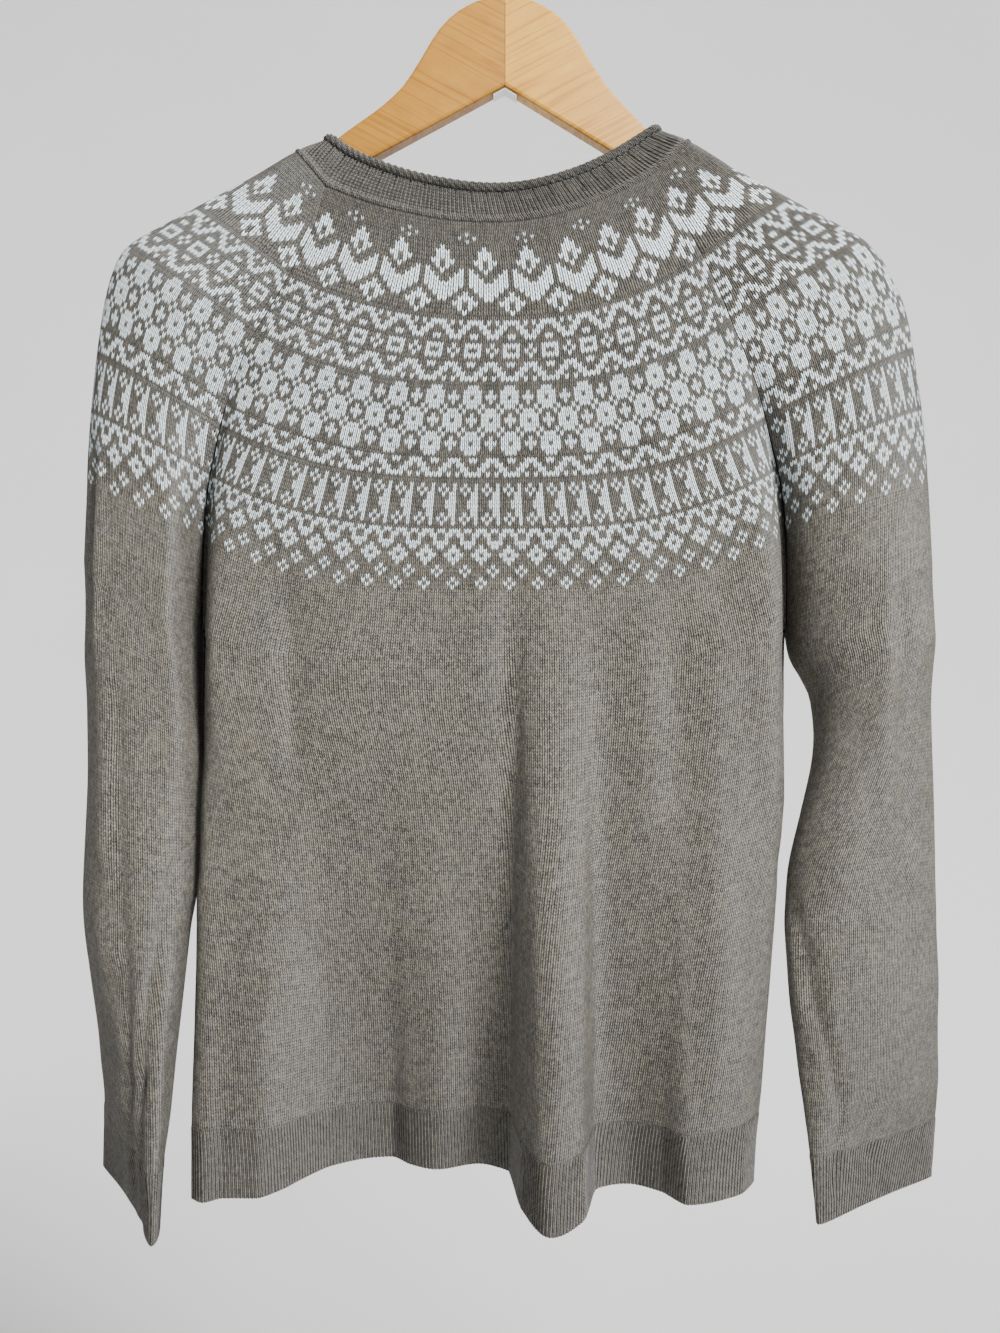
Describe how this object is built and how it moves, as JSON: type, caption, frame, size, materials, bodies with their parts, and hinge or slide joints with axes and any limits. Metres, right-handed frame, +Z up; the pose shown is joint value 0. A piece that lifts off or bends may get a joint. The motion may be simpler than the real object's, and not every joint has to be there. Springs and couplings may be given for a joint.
{
  "type": "fair isle jumper on a wooden hanger",
  "caption": "Yoke jumper with raglan sleeves, ribbed neckband, cuffs and hem, hanging on a flat wooden hanger with a wire hook.",
  "frame": {"origin": "top of the inside of the hook's round, where it bears on the rail", "axes": "+Z up, -Y towards the viewer of the jumper's back, +X to the wearer's right sleeve as seen from behind; the rail runs along Y"},
  "size_m": [0.5064, 0.117, 0.7714],
  "materials": {
    "knit": "taupe heather wool knit with a pale grey-blue yoke pattern",
    "rib": "taupe heather wool in a fine rib",
    "wood": "clear varnished light wood",
    "steel": "plated wire"
  },
  "bodies": {
    "root": {"back_panel": "knit", "front_panel": "knit", "sleeve_left": "knit", "sleeve_right": "knit", "neckband": "rib", "hanger_arm_left": "wood", "hanger_arm_right": "wood", "hook": "steel", "joint_plate": "steel"}
  },
  "joints": []
}
